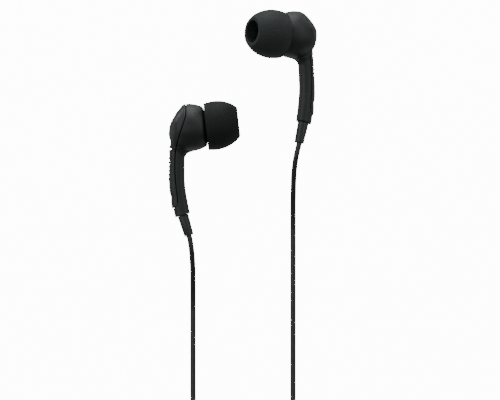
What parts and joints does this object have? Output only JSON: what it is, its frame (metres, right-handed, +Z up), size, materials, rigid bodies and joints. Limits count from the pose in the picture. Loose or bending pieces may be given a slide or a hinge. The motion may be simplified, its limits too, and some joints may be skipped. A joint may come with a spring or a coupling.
{
  "type": "wired earphones",
  "caption": "Wired in-ear earphones: stemmed earbuds with hollow silicone ear tips, thin cords that join at a Y split, and a headphone plug. The spare cord is wound and tied.",
  "frame": {"origin": "centre of the footprint of the two earbuds and their strain reliefs, at the table they lie on", "axes": "+Z up from the table; +Y along the stems, from the cord end towards the ear ends; +X from the left earbud towards the right one"},
  "size_m": [0.0401, 0.2194, 0.0153],
  "materials": {
    "housing": "satin",
    "silicone": "matte",
    "cord": "satin",
    "tie": "matte",
    "contact": "polished",
    "insulator": "gloss",
    "steel": "satin",
    "nickel": "satin",
    "foam": "matte",
    "cloth": "matte",
    "film": "satin",
    "copper": "satin",
    "board": "satin",
    "moulding": "matte"
  },
  "bodies": {
    "earphones": {"left_nozzle": "housing", "left_front_housing": "housing", "left_rear_cover": "housing", "left_nozzle_mesh": "steel", "left_damper_foam": "foam", "left_driver_grille": "steel", "left_driver_frame": "moulding", "left_diaphragm_surround": "film", "left_diaphragm_dome": "film", "left_voice_coil": "copper", "left_pole_plate": "steel", "left_magnet": "nickel", "left_yoke": "steel", "left_vent_cloth": "cloth", "left_terminal_board": "board", "left_lead_wires": "copper", "left_cord_clamp": "steel", "left_strain_relief": "cord", "left_upper_cord": "cord", "left_cord_coil": "cord", "left_coil_tie": "tie", "left_lower_cord": "cord", "right_nozzle": "housing", "right_front_housing": "housing", "right_rear_cover": "housing", "right_nozzle_mesh": "steel", "right_damper_foam": "foam", "right_driver_grille": "steel", "right_driver_frame": "moulding", "right_diaphragm_surround": "film", "right_diaphragm_dome": "film", "right_voice_coil": "copper", "right_pole_plate": "steel", "right_magnet": "nickel", "right_yoke": "steel", "right_vent_cloth": "cloth", "right_terminal_board": "board", "right_lead_wires": "copper", "right_cord_clamp": "steel", "right_strain_relief": "cord", "right_upper_cord": "cord", "right_cord_coil": "cord", "right_coil_tie": "tie", "right_lower_cord": "cord", "y_split": "cord", "main_cord": "cord", "main_coil": "cord", "main_tie": "tie", "plug_tail": "cord", "plug_strain_relief": "cord", "plug_grip": "housing", "plug_sleeve": "contact", "plug_ring": "contact", "plug_tip": "contact", "plug_insulators": "insulator"},
    "left_tip": {"left_ear_tip": "silicone"},
    "right_tip": {"right_ear_tip": "silicone"}
  },
  "joints": [
    {"name": "left_tip_pull", "type": "slide", "parent": "earphones", "child": "left_tip", "axis": [0.9936, 0.1132, 0], "range_m": [0, 0.009]},
    {"name": "right_tip_pull", "type": "slide", "parent": "earphones", "child": "right_tip", "axis": [-0.8454, 0.0875, 0.527], "range_m": [0, 0.009]}
  ]
}
